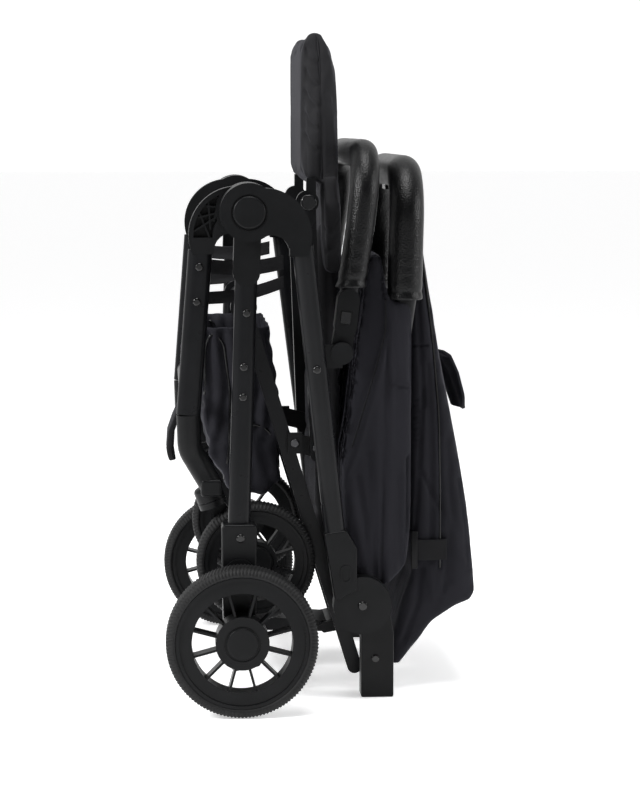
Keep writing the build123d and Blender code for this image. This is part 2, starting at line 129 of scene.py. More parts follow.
def add_node(
    tree: bpy.types.NodeTree, kind: str, feeds: dict[str | int, Socket], **values: object,
) -> bpy.types.Node:
    """Adds a node with its links and values.

    Args:
        tree: where it goes.
        kind: its type, without the common start of the name.
        feeds: the outputs that feed its inputs.
        values: fixed inputs, with underscores for spaces.

    Returns:
        The node.
    """
    added = tree.nodes.new("ShaderNode" + kind)
    for name, value in values.items():
        added.inputs[name.replace("_", " ")].default_value = value
    for name, source in feeds.items():
        tree.links.new(source, added.inputs[name])
    return added


class Shader:
    """Builds one procedural material on Object coordinates."""

    def __init__(self, name: str) -> None:
        """Starts from a plain Principled surface."""
        self.material = bpy.data.materials.new(name)
        self.material.use_nodes = True
        self.tree = self.material.node_tree
        self.surface = self.tree.nodes["Principled BSDF"]
        self.coords = self.tree.nodes.new("ShaderNodeTexCoord").outputs["Object"]

    def values(self, **sockets: object) -> None:
        """Sets sockets of the surface; underscores stand for spaces."""
        for name, value in sockets.items():
            self.surface.inputs[name.replace("_", " ")].default_value = value

    def link(self, source: Socket, target: str) -> None:
        """Feeds a socket of the surface."""
        self.tree.links.new(source, self.surface.inputs[target])

    def stretched(self, scale: tuple[float, float, float]) -> Socket:
        """Object coordinates stretched along the axes."""
        return add_node(self.tree, "Mapping", {"Vector": self.coords}, Scale=scale).outputs["Vector"]

    def noise(self, scale: float, detail: float = 3.0, place: Socket | None = None) -> Socket:
        """A noise pattern."""
        feeds = {"Vector": place or self.coords}
        return add_node(self.tree, "TexNoise", feeds, Scale=scale, Detail=detail).outputs["Fac"]

    def cells(self, scale: float) -> Socket:
        """Distances in a cell pattern."""
        return add_node(self.tree, "TexVoronoi", {"Vector": self.coords}, Scale=scale).outputs["Distance"]

    def bands(self, scale: float, direction: str) -> Socket:
        """Parallel bands, as of threads or ribs."""
        node = add_node(self.tree, "TexWave", {"Vector": self.coords}, Scale=scale)
        node.bands_direction = direction
        return node.outputs["Fac"]

    def ramp(
        self, source: Socket, low: Colour, high: Colour, start: float = 0.3, end: float = 0.7,
    ) -> Socket:
        """Colours between two tones along a pattern."""
        node = add_node(self.tree, "ValToRGB", {"Fac": source})
        for element, place, tone in zip(node.color_ramp.elements, (start, end), (low, high)):
            element.position = place
            element.color = (*tone, 1.0)
        return node.outputs["Color"]

    def span(self, source: Socket, low: float, high: float) -> Socket:
        """A pattern moved into a range of values."""
        return add_node(self.tree, "MapRange", {"Value": source}, To_Min=low, To_Max=high).outputs["Result"]

    def bump(self, height: Socket, strength: float, distance: float, under: Socket | None = None) -> Socket:
        """A relief, on top of another one where given."""
        feeds = {"Height": height, "Normal": under} if under else {"Height": height}
        return add_node(self.tree, "Bump", feeds, Strength=strength, Distance=distance).outputs["Normal"]


@dataclass(frozen=True)
class Hard:
    """Painted, moulded, steel and rubber surfaces, with a fine grain and uneven gloss."""

    name: str
    low: Colour
    high: Colour
    rough: tuple[float, float]
    grain: float = 1400.0
    relief: float = 0.12
    metallic: float = 0.0
    specular: float = 0.13
    coat: float = 0.0
    patch_scale: float = 22.0
    gloss_scale: float = 60.0

    def build(self) -> bpy.types.Material:
        """Makes the material."""
        shader = Shader(self.name)
        shader.values(Metallic=self.metallic, Specular_IOR_Level=self.specular)
        shader.values(Coat_Weight=self.coat, Coat_Roughness=0.2)
        patches = shader.noise(self.patch_scale, 5.0)
        shader.link(shader.ramp(patches, self.low, self.high), "Base Color")
        shader.link(shader.span(shader.noise(self.gloss_scale), *self.rough), "Roughness")
        shader.link(shader.bump(shader.noise(self.grain, 1.0), self.relief, 0.2 * MM), "Normal")
        return shader.material


@dataclass(frozen=True)
class Leather:
    """Pebbled leather-look cover."""

    name: str
    tone: Colour
    cell: float = 620.0
    rough: tuple[float, float] = (0.26, 0.38)
    pebble_height: float = 0.42 * MM
    fold_height: float = 0.4 * MM

    def build(self) -> bpy.types.Material:
        """Makes the material."""
        shader = Shader(self.name)
        shader.values(Specular_IOR_Level=0.2)
        pebbles = shader.cells(self.cell)
        dark = tuple(c * 0.6 for c in self.tone)
        shader.link(shader.ramp(pebbles, self.tone, dark, 0.25, 0.75), "Base Color")
        shader.link(shader.span(shader.noise(90.0), *self.rough), "Roughness")
        folds = shader.bump(shader.noise(110.0), 0.08, self.fold_height)
        shader.link(shader.bump(pebbles, 0.7, self.pebble_height, folds), "Normal")
        return shader.material


@dataclass(frozen=True)
class Cloth:
    """Woven cloth or webbing: threads, soft creases and a faint sheen."""

    name: str
    low: Colour
    high: Colour
    thread: float = 700.0
    relief: float = 0.25
    sheen: float = 0.06
    rough: float = 0.78
    crease_height: float = 2.2 * MM
    thread_height: float = 0.25 * MM

    def build(self) -> bpy.types.Material:
        """Makes the material."""
        shader = Shader(self.name)
        shader.values(Roughness=self.rough, Specular_IOR_Level=0.12)
        shader.values(Sheen_Weight=self.sheen, Sheen_Roughness=0.45, Sheen_Tint=(0.75, 0.75, 0.9, 1.0))
        patches = shader.noise(9.0, 6.0)
        shader.link(shader.ramp(patches, self.low, self.high), "Base Color")
        upright = shader.noise(38.0, 5.0, shader.stretched((1.0, 1.0, 0.35)))
        under = shader.bump(upright, 0.35, self.crease_height)
        for direction in ("DIAGONAL", "Z"):
            under = shader.bump(shader.bands(self.thread, direction), self.relief, self.thread_height, under)
        shader.link(under, "Normal")
        return shader.material


FINISHES = {
    "frame_paint": Hard(
        "satin black powder coat", (0.0034, 0.0036, 0.0042), (0.0056, 0.0058, 0.0066), (0.24, 0.34),
        900.0, 0.08,
    ),
    "steel_pins": Hard("dark steel", (0.05, 0.05, 0.052), (0.09, 0.09, 0.095), (0.25, 0.4), 500.0, 0.05, 1.0),
    "rivets": Hard(
        "gloss black rivet", (0.002, 0.002, 0.0022), (0.004, 0.004, 0.0042), (0.06, 0.1),
        300.0, 0.0, 0.0, 0.3, 0.2,
    ),
    "moulded_plastic": Hard(
        "moulded black plastic", (0.0028, 0.003, 0.0033), (0.005, 0.0052, 0.0057), (0.3, 0.42),
        1700.0, 0.2,
    ),
    "buttons": Hard(
        "smooth button plastic", (0.004, 0.0042, 0.0046), (0.006, 0.0062, 0.0068), (0.14, 0.22),
        1200.0, 0.05, 0.0, 0.3,
    ),
    "tyre": Hard(
        "black foam rubber", (0.0055, 0.0055, 0.0058), (0.0095, 0.0095, 0.0099), (0.5, 0.66),
        1100.0, 0.4, 0.0, 0.2,
    ),
    "leather_grip": Leather("pebbled grip cover", (0.0026, 0.0027, 0.003)),
    "hood_fabric": Cloth("hood cloth", (0.0082, 0.0082, 0.0108), (0.0125, 0.0122, 0.0158)),
    "seat_fabric": Cloth("seat cloth", (0.0092, 0.0092, 0.0102), (0.0142, 0.014, 0.0152), 520.0, 0.3),
    "webbing": Cloth("ribbed webbing", (0.007, 0.007, 0.0078), (0.011, 0.011, 0.012), 420.0, 0.7, 0.05, 0.7),
}


class Finishes:
    """The materials by the record's slots."""

    def __init__(self) -> None:
        """Builds each finish once."""
        self.by_slot = {slot: finish.build() for slot, finish in FINISHES.items()}

    def dress_frame(self, frame: dict) -> None:
        """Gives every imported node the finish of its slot.
        """
        for entry in frame["record"]["subparts"]:
            node = frame["nodes"][entry["node"]]
            if not node.material_slots:
                node.data.materials.append(None)
            for slot in node.material_slots:
                slot.link = "OBJECT"
                slot.material = self.by_slot[entry["material_slot"]]

    def dress(self, piece: Piece, slot: str) -> None:
        """Gives a new piece a finish."""
        piece.data.materials.clear()
        piece.data.materials.append(self.by_slot[slot])


# Mesh helpers


def to_object(bm: Mesh, name: str) -> Piece:
    """Writes a bmesh out as a smooth object at the origin.

    Args:
        bm: the finished mesh, which is freed.
        name: the object's name.

    Returns:
        The new object, linked to the scene.
    """
    bmesh.ops.remove_doubles(bm, verts=bm.verts[:], dist=0.00001)
    bmesh.ops.recalc_face_normals(bm, faces=bm.faces[:])
    mesh = bpy.data.meshes.new(name)
    bm.to_mesh(mesh)
    bm.free()
    for face in mesh.polygons:
        face.use_smooth = True
    piece = bpy.data.objects.new(name, mesh)
    bpy.context.scene.collection.objects.link(piece)
    return piece


def bake(piece: Piece) -> None:
    """Replaces a piece's mesh by its evaluated one and drops its modifiers."""
    graph = bpy.context.evaluated_depsgraph_get()
    mesh = bpy.data.meshes.new_from_object(piece.evaluated_get(graph))
    piece.modifiers.clear()
    piece.data = mesh
    for face in mesh.polygons:
        face.use_smooth = True


def modifier(piece: Piece, kind: str, **settings: object) -> bpy.types.Modifier:
    """Adds a modifier with its settings."""
    added = piece.modifiers.new(kind.lower(), kind)
    for name, value in settings.items():
        setattr(added, name, value)
    return added


def subdivide(piece: Piece) -> None:
    """Smooths a piece with live subdivision, alike in view and render."""
    modifier(piece, "SUBSURF", levels=1, render_levels=1)


def line_distance(first: np.ndarray, second: np.ndarray, line: list[Point]) -> np.ndarray:
    """Shortest distances from points to a run of straight lines."""
    best = np.full(first.shape, 1.0)
    for (ax, az), (bx, bz) in zip(line, line[1:]):
        run = (bx - ax) ** 2 + (bz - az) ** 2
        share = np.clip(((first - ax) * (bx - ax) + (second - az) * (bz - az)) / run, 0.0, 1.0)
        gap = np.hypot(first - ax - share * (bx - ax), second - az - share * (bz - az))
        best = np.minimum(best, gap)
    return best


def places(piece: Piece) -> np.ndarray:
    """The vertices of a piece as rows of numbers."""
    found = np.empty(len(piece.data.vertices) * 3)
    piece.data.vertices.foreach_get("co", found)
    return found.reshape(-1, 3)


def normals_of(piece: Piece) -> np.ndarray:
    """The vertex normals of a piece as rows of numbers."""
    return np.array([v.normal for v in piece.data.vertices], float).reshape(-1, 3)


def move(piece: Piece, rows: np.ndarray) -> None:
    """Writes vertex places back."""
    piece.data.vertices.foreach_set("co", rows.ravel())
    piece.data.update()


@dataclass(frozen=True)
class Fold:
    """A ridge, or a crease where height is negative, along a line on one face.

    The line's points are fractions of the piece's box: along X and Z on a side, along Y and Z
    on the front or the back.
    """

    line: Line
    height: float
    width: float
    facing: Facing = Facing.SIDE


@dataclass(frozen=True)
class Space:
    """The box a soft piece fills, and places in it by fractions."""

    low: Vector
    high: Vector

    @staticmethod
    def of(*nodes: str) -> Space:
        """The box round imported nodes."""
        boxes = [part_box(node) for node in nodes]
        low = Vector([min(box[0][i] for box in boxes) for i in range(3)])
        high = Vector([max(box[1][i] for box in boxes) for i in range(3)])
        return Space(low, high)

    def x(self, share: float) -> float:
        """Place along X."""
        return self.low.x + (self.high.x - self.low.x) * share

    def y(self, share: float) -> float:
        """Place along Y."""
        return self.low.y + (self.high.y - self.low.y) * share

    def z(self, share: float) -> float:
        """Place along Z."""
        return self.low.z + (self.high.z - self.low.z) * share

    def side(self, points: Line) -> list[Point]:
        """Side-view points in metres."""
        return [(self.x(u), self.z(v)) for u, v in points]

    def across(self, points: Line) -> list[Point]:
        """Front-view points in metres."""
        return [(self.y(u), self.z(v)) for u, v in points]

    def hold(self, piece: Piece, proud: float) -> None:
        """Keeps a piece's points inside the box, give or take a little."""
        rows = places(piece)
        move(piece, np.clip(rows, np.array(self.low) - proud, np.array(self.high) + proud))


def crease(piece: Piece, space: Space, folds: tuple[Fold, ...]) -> None:
    """Presses folds into a dense soft piece.

    Args:
        piece: the piece.
        space: the box its folds are measured in.
        folds: the ridges and creases.
    """
    rows, normals = places(piece), normals_of(piece)
    shift = np.zeros(len(rows))
    along = normals[:, 0]
    facings = {Facing.SIDE: np.abs(normals[:, 1]), Facing.FRONT: -along, Facing.BACK: along}
    for fold in folds:
        on_side = fold.facing is Facing.SIDE
        line = space.side(fold.line) if on_side else space.across(fold.line)
        gap = line_distance(rows[:, 0 if on_side else 1], rows[:, 2], line) / fold.width
        facing = facings[fold.facing]
        share = np.where(facing < 0.35, 0.0, np.minimum(1.0, facing * 1.4))
        shift += fold.height * np.exp(-gap * gap) * share
    move(piece, rows + normals * shift[:, None])


def ripple(piece: Piece, height: float, size: float, stretch: float = 3.0) -> None:
    """Adds soft uneven ripples that run mostly upright.

    Args:
        piece: the piece.
        height: how deep they are.
        size: how wide they are.
        stretch: how much longer than wide.
    """
    normals = [v.normal.copy() for v in piece.data.vertices]
    for vertex, normal in zip(piece.data.vertices, normals):
        spot = Vector((vertex.co.x / size, vertex.co.y / size, vertex.co.z / (size * stretch)))
        vertex.co += normal * (height * (noise.noise(spot) + 0.5 * noise.noise(spot * 2.3)))


def slab(outline: list[Point], inner: float, outer: float) -> Mesh:
    """A closed solid with a side-view outline between two places along Y.

    Args:
        outline: points along X and Z.
        inner: Y of one side.
        outer: Y of the other.

    Returns:
        The bmesh.
    """
    bm = bmesh.new()
    face = bm.faces.new([bm.verts.new((x, inner, z)) for x, z in outline])
    grown = bmesh.ops.extrude_face_region(bm, geom=[face])["geom"]
    moved = [v for v in grown if isinstance(v, bmesh.types.BMVert)]
    bmesh.ops.translate(bm, verts=moved, vec=(0.0, outer - inner, 0.0))
    bmesh.ops.recalc_face_normals(bm, faces=bm.faces[:])
    return bm


def bevel_all(bm: Mesh, width: float, segments: int = 2) -> None:
    """Rounds every edge a little."""
    bmesh.ops.bevel(
        bm, geom=bm.edges[:], offset=width, segments=segments, profile=0.5, affect="EDGES", material=-1,
    )


@dataclass(frozen=True)
class Filling:
    """How a soft piece is puffed up.

    The numbers are the size of its remesh, how hard it is filled, how far a point may move and
    how long the cloth is run.
    """

    voxel: float
    pressure: float
    cap: float
    frames: int = 20

    def puff(self, name: str, outline: list[Point], ends: Point, rounding: float) -> Piece:
        """Cuts a soft solid out and puffs it up, dense enough to hold narrow folds.

        Args:
            name: the piece's name.
            outline: its side view along X and Z.
            ends: its two places along Y.
            rounding: how far its edges are rounded first.

        Returns:
            The piece.
        """
        bm = slab(outline, *ends)
        bevel_all(bm, rounding)
        piece = to_object(bm, name)
        modifier(piece, "REMESH", mode="VOXEL", voxel_size=self.voxel)
        bake(piece)
        self.inflate(piece)
        subdivide(piece)
        bake(piece)
        return piece

    def inflate(self, piece: Piece) -> None:
        """Runs a piece as cloth under pressure, with no gravity."""
        before = [v.co.copy() for v in piece.data.vertices]
        cloth = modifier(piece, "CLOTH")
        cloth.settings.use_pressure = True
        cloth.settings.uniform_pressure_force = self.pressure
        cloth.settings.quality = 5
        cloth.settings.effector_weights.gravity = 0.0
        scene = bpy.context.scene
        for number in range(1, self.frames + 1):
            scene.frame_set(number)
        bake(piece)
        scene.frame_set(1)
        for vertex, start in zip(piece.data.vertices, before):
            step = vertex.co - start
            if step.length > self.cap:
                vertex.co = start + step.normalized() * self.cap


def piping(name: str, points: list[Vector], radius: float) -> Piece:
    """A sewn-in cord along a smooth line, as a mesh.

    Args:
        name: the piece's name.
        points: the line's control points.
        radius: half its thickness.

    Returns:
        The piece.
    """
    data = bpy.data.curves.new(name, "CURVE")
    data.dimensions = "3D"
    data.bevel_depth = radius
    data.bevel_resolution = 3
    data.resolution_u = 8
    data.use_fill_caps = True
    spline = data.splines.new("NURBS")
    spline.points.add(len(points) - 1)
    for place, point in zip(spline.points, points):
        place.co = (*point, 1.0)
    spline.order_u = 3
    spline.use_endpoint_u = True
    holder = bpy.data.objects.new(name, data)
    bpy.context.scene.collection.objects.link(holder)
    graph = bpy.context.evaluated_depsgraph_get()
    mesh = bpy.data.meshes.new_from_object(holder.evaluated_get(graph))
    bpy.data.objects.remove(holder)
    bm = bmesh.new()
    bm.from_mesh(mesh)
    return to_object(bm, name)


class Skin:
    """Finds points on a piece's surface, for seams laid on it."""

    def __init__(self, piece: Piece) -> None:
        """Reads the piece's finished shape."""
        graph = bpy.context.evaluated_depsgraph_get()
        self.tree = BVHTree.FromObject(piece, graph)

    def beside(self, points: list[Point], side: float, lift: float) -> list[Vector]:
        """Side-view points dropped on the surface from outside.

        Args:
            points: places along X and Z.
            side: -1 for the left side, 1 for the right.
            lift: how far they stand off.

        Returns:
            The points that met the surface.
        """
        found = []
        for x, z in points:
            hit = self.tree.ray_cast(Vector((x, side * 0.6, z)), Vector((0.0, -side, 0.0)))[0]
            if hit:
                found.append(hit + Vector((0.0, side * lift, 0.0)))
        return found

    def cords(self, name: str, line: list[Point], lift: float, radius: float) -> list[Piece]:
        """Lays the same cord on both sides.

        Args:
            name: what the cords are called before their side.
            line: places along X and Z.
            lift: how far a cord's middle stands off.
            radius: half its thickness.

        Returns:
            The left cord and the right one.
        """
        return [
            piping(f"{name}_{side}", self.beside(line, sign, lift), radius) for side, sign in SIDES.items()
        ]


def even(points: list[Point], step: float) -> list[Point]:
    """Points spread evenly along straight runs."""
    out = [points[0]]
    for (ax, az), (bx, bz) in zip(points, points[1:]):
        count = max(1, round(math.hypot(bx - ax, bz - az) / step))
        out += [(ax + (bx - ax) * k / count, az + (bz - az) * k / count) for k in range(1, count + 1)]
    return out


# Sub-assemblies


@dataclass
class Tyre:
    """Foam tyre with a knurled tread, turned about its axle."""

    node: str
    rim: str
    body: str
    shoulder: float = 0.0062
    knurls: int = 130
    knurl_height: float = 0.0013
    lean: float = 0.6
    steps_per_knurl: int = 4

    def profile(self, radius: float, bed: float, half: float) -> list[Point]:
        """Half-width and radius pairs round the section.

        Args:
            radius: the tread's radius.
            bed: the rim bed's radius.
            half: half the width.

        Returns:
            The closed section's points.
        """
        points = [(-half + 0.002, bed), (-half, bed + 0.002)]
        for k in range(5):
            turn = math.radians(90.0 * k / 4.0)
            out, up = self.shoulder * (1 - math.cos(turn)), self.shoulder * (1 - math.sin(turn))
            points.append((-half + out, radius - up))
        crown = half - self.shoulder
        points += [(crown * (k / 4.0 - 1.0), radius) for k in range(1, 4)]
        points += [(crown * k / 4.0, radius) for k in range(0, 4)]
        left = points[:7]
        return points + [(-y, r) for y, r in reversed(left)]

    def build(self, finishes: Finishes) -> None:
        """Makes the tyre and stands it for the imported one."""
        low, high = (Vector(corner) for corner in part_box(self.node))
        rim_low, rim_high = (Vector(corner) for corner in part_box(self.rim))
        centre = (low + high) / 2
        radius, bed, half = (high.z - low.z) / 2, (rim_high.z - rim_low.z) / 2, (high.y - low.y) / 2
        bm = bmesh.new()
        section = self.profile(radius, bed, half)
        verts = [bm.verts.new((centre.x, centre.y + y, centre.z + r)) for y, r in section]
        edges = [bm.edges.new((a, b)) for a, b in zip(verts, verts[1:] + verts[:1])]
        steps = self.knurls * self.steps_per_knurl
        bmesh.ops.spin(
            bm, geom=verts + edges, cent=centre, axis=(0, 1, 0), angle=math.tau, steps=steps, use_merge=True,
        )
        for vertex in bm.verts:
            arm = Vector((vertex.co.x - centre.x, 0.0, vertex.co.z - centre.z))
            rise = (arm.length - radius + self.shoulder * 1.3) / (self.shoulder * 0.5)
            if rise <= 0.0:
                continue
            turn = math.atan2(arm.z, arm.x) / math.tau * self.knurls
            lean = (vertex.co.y - centre.y) / half * self.lean
            wave = math.cos((turn + lean) * math.tau)
            depth = self.knurl_height * (0.5 - 0.5 * wave) * min(1.0, rise)
            vertex.co -= arm.normalized() * depth * 0.8
            vertex.co.y -= math.copysign(depth * 0.8, vertex.co.y - centre.y)
        piece = to_object(bm, self.node + "_tread")
        finishes.dress(piece, "tyre")
        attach(piece, self.body)
        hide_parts(self.node)


@dataclass
class Sleeve:
    """Leather-look cover round a U-shaped tube, with rolled ends and fine cross wrinkles."""

    node: str
    body: str
    radius: float
    corner: float
    foot: float
    lean: Line
    wrinkles: float = 0.00018
    segments: int = 40
    step: float = 0.0022
    bend_steps: int = 28
    top_steps: int = 40

    def lean_at(self, z: float) -> float:
        """The tube's place along X at a height, on straight runs between the lean's points."""
        for (za, xa), (zb, xb) in zip(self.lean, self.lean[1:]):
            if z <= zb:
                return xa + (xb - xa) * (z - za) / (zb - za)
        return self.lean[-1][1]

    def build(self, finishes: Finishes) -> None:
        """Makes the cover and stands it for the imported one."""
        high = Vector(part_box(self.node)[1])
        half = high.y - self.radius
        top = high.z - self.radius
        bm = bmesh.new()
        ring = bmesh.ops.create_circle(bm, segments=self.segments, radius=self.radius)["verts"]
        bmesh.ops.translate(bm, verts=ring, vec=(0.0, -half, self.foot))
        edges = list({e for v in ring for e in v.link_edges})
        rise = top - self.corner - self.foot
        steps = max(12, int(rise / self.step))
        for _ in range(steps):
            edges = self.push(bm, edges, Vector((0.0, 0.0, rise / steps)))
        centre = Vector((0.0, -half + self.corner, top - self.corner))
        turned = bmesh.ops.spin(
            bm, geom=edges, cent=centre, axis=(1, 0, 0), angle=-math.pi / 2, steps=self.bend_steps,
        )
        edges = [e for e in turned["geom_last"] if isinstance(e, bmesh.types.BMEdge)]
        run = half - self.corner
        for _ in range(self.top_steps):
            edges = self.push(bm, edges, Vector((0.0, run / self.top_steps, 0.0)))
        bmesh.ops.mirror(bm, geom=bm.verts[:] + bm.edges[:] + bm.faces[:], axis="Y", merge_dist=0.0002)
        bmesh.ops.remove_doubles(bm, verts=bm.verts[:], dist=0.0002)
        self.shape(bm, half, top)
        piece = to_object(bm, self.node + "_cover")
        modifier(piece, "SOLIDIFY", thickness=0.0018, offset=-1.0)
        subdivide(piece)
        finishes.dress(piece, "leather_grip")
        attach(piece, self.body)
        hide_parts(self.node)

    @staticmethod
    def push(
        bm: Mesh, edges: list[bmesh.types.BMEdge], step: Vector,
    ) -> list[bmesh.types.BMEdge]:
        """Extrudes a ring by one step and returns the new ring."""
        grown = bmesh.ops.extrude_edge_only(bm, edges=edges)["geom"]
        verts = [v for v in grown if isinstance(v, bmesh.types.BMVert)]
        bmesh.ops.translate(bm, verts=verts, vec=step)
        fresh = set(verts)
        return [e for e in grown if isinstance(e, bmesh.types.BMEdge) and all(v in fresh for v in e.verts)]

    def shape(self, bm: Mesh, half: float, top: float) -> None:
        """Leans the tube, rolls its ends and wrinkles its skin."""
        corner_z = top - self.corner
        for vertex in bm.verts:
            side = -1.0 if vertex.co.y < 0 else 1.0
            if vertex.co.z < corner_z:
                axis = Vector((0.0, side * half, vertex.co.z))
            elif abs(vertex.co.y) > half - self.corner:
                hub = Vector((0.0, side * (half - self.corner), corner_z))
                arm = Vector((0.0, vertex.co.y - hub.y, vertex.co.z - hub.z)).normalized()
                axis = hub + arm * self.corner
            else:
                axis = Vector((0.0, vertex.co.y, top))
            out = (vertex.co - axis).normalized()
            up = vertex.co.z - self.foot
            rolled = 0.0009 * math.exp(-((up - 0.002) / 0.0022) ** 2)
            seam = -0.0007 * math.exp(-((up - 0.0085) / 0.0012) ** 2)
            fade = max(0.0, 1.0 - up / 0.075)
            cross = self.wrinkles * fade * math.sin(up / 0.0042 * 2.0 + 1.7 * noise.noise(vertex.co * 60.0))
            soft = 0.0003 * noise.noise(vertex.co * 30.0)
            vertex.co += out * (rolled + seam + cross + soft)
            vertex.co.x += self.lean_at(axis.z)


@dataclass
class Strap:
    """Flat webbing between two side-view points, with a sewn end at each."""

    name: str
    start: Point
    end: Point
    width: float
    place: float
    sag: float = 0.004
    thick: float = 0.0016

    def build(self, finishes: Finishes) -> Piece:
        """Makes the strap.

        Returns:
            The strap, not yet riding on a body.
        """
        bm = bmesh.new()
        bmesh.ops.create_grid(bm, x_segments=26, y_segments=6, size=0.5)
        run = Vector((self.end[0] - self.start[0], 0.0, self.end[1] - self.start[1]))
        side = 1.0 if self.place > 0 else -1.0
        for vertex in bm.verts:
            along, across = vertex.co.x + 0.5, vertex.co.y
            bow = math.sin(along * math.pi)
            x = self.start[0] + run.x * along
            z = self.start[1] + run.z * along + across * self.width - self.sag * bow
            y = self.place + side * self.sag * 0.3 * bow * math.cos(across * 5.0)
            ends = math.exp(-((min(along, 1.0 - along) - 0.1) / 0.02) ** 2)
            vertex.co = Vector((x, y - side * 0.0005 * ends, z))
        piece = to_object(bm, self.name)
        modifier(piece, "SOLIDIFY", thickness=self.thick, offset=0.0)
        modifier(piece, "BEVEL", width=0.0004, segments=2)
        finishes.dress(piece, "webbing")
        return piece


@dataclass
class LegRest:
    """Padded leg rest with a piped seam down each narrow side."""

    node: str = "leg_rest_pad"
    body: str = "leg_rest"
    outline: Line = (
        (0.08, 0.14), (0.03, 0.4), (0.02, 0.72), (0.07, 0.93), (0.26, 0.985), (0.5, 0.985),
        (0.74, 0.9), (0.86, 0.74), (0.93, 0.45), (0.97, 0.14), (0.93, 0.02), (0.64, 0.02), (0.52, 0.12),
    )
    seam: Line = ((0.55, 0.14), (0.53, 0.45), (0.5, 0.75), (0.46, 0.9), (0.42, 0.97))
    inset: float = 0.004
    filling: Filling = Filling(0.0044, 2.5, 0.004)

    def folds(self) -> tuple[Fold, ...]:
        """The seams and the slanting tucks of the cover."""
        tucks = []
        for k in range(5):
            v = 0.3 + 0.125 * k
            tucks.append(Fold(((0.1, v + 0.09), (0.24, v + 0.03), (0.4, v)), -0.0019, 0.0019))
            tucks.append(Fold(((0.12, v + 0.12), (0.28, v + 0.06), (0.42, v + 0.03)), 0.0012, 0.0022))
        front_edge = ((0.12, 0.1), (0.08, 0.5), (0.12, 0.9))
        seams = [Fold(self.seam, -0.003, 0.0018), Fold(front_edge, -0.002, 0.003)]
        for place in (0.12, 0.88):
            for facing in (Facing.FRONT, Facing.BACK):
                seams.append(Fold(((place, 0.03), (place, 0.95)), -0.0016, 0.0028, facing))
        for height in (0.36, 0.66):
            seams.append(Fold(((0.12, height), (0.88, height)), -0.0014, 0.0026, Facing.BACK))
        return tuple(seams + tucks)

    def build(self, finishes: Finishes) -> None:
        """Makes the pad, its piping and its sewn edge."""
        space = Space.of(self.node)
        ends = (space.low.y + self.inset, space.high.y - self.inset)
        pad = self.filling.puff("leg_rest_cushion", space.side(self.outline), ends, 0.003)
        ripple(pad, 0.0008, 0.022)
        space.hold(pad, 0.0)
        crease(pad, space, self.folds())
        space.hold(pad, 0.0015)
        finishes.dress(pad, "seat_fabric")
        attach(pad, self.body)
        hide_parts(self.node)
        for cord in Skin(pad).cords("leg_rest_piping", space.side(self.seam), 0.0002, 0.0011):
            finishes.dress(cord, "seat_fabric")
            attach(cord, self.body)


@dataclass
class SeatPad:
    """Seat and back cushion that hangs inside the folded frame."""

    node: str = "seat_pad"
    body: str = "seat_frame"
    outline: Line = (
        (0.1, 0.02), (0.03, 0.25), (0.05, 0.97), (0.3, 0.99), (0.72, 0.985), (0.95, 0.66), (0.96, 0.12),
        (0.7, 0.01),
    )
    channels: tuple[float, ...] = (0.18, 0.36, 0.54, 0.72, 0.88)
    inset: float = 0.004
    filling: Filling = Filling(0.0058, 2.5, 0.004)

    def build(self, finishes: Finishes) -> None:
        """Makes the pad with its sewn channels."""
        space = Space.of(self.node)
        ends = (space.low.y + self.inset, space.high.y - self.inset)
        pad = self.filling.puff("seat_cushion", space.side(self.outline), ends, 0.003)
        space.hold(pad, 0.0)
        folds = [Fold(((0.5, 0.02), (0.5, 0.98)), -0.0018, 0.003)]
        for height in self.channels:
            for facing in (Facing.FRONT, Facing.BACK):
                folds.append(Fold(((0.08, height), (0.92, height)), -0.002, 0.004, facing))
        crease(pad, space, tuple(folds))
        ripple(pad, 0.0009, 0.03)
        finishes.dress(pad, "seat_fabric")
        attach(pad, self.body)
        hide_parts(self.node)


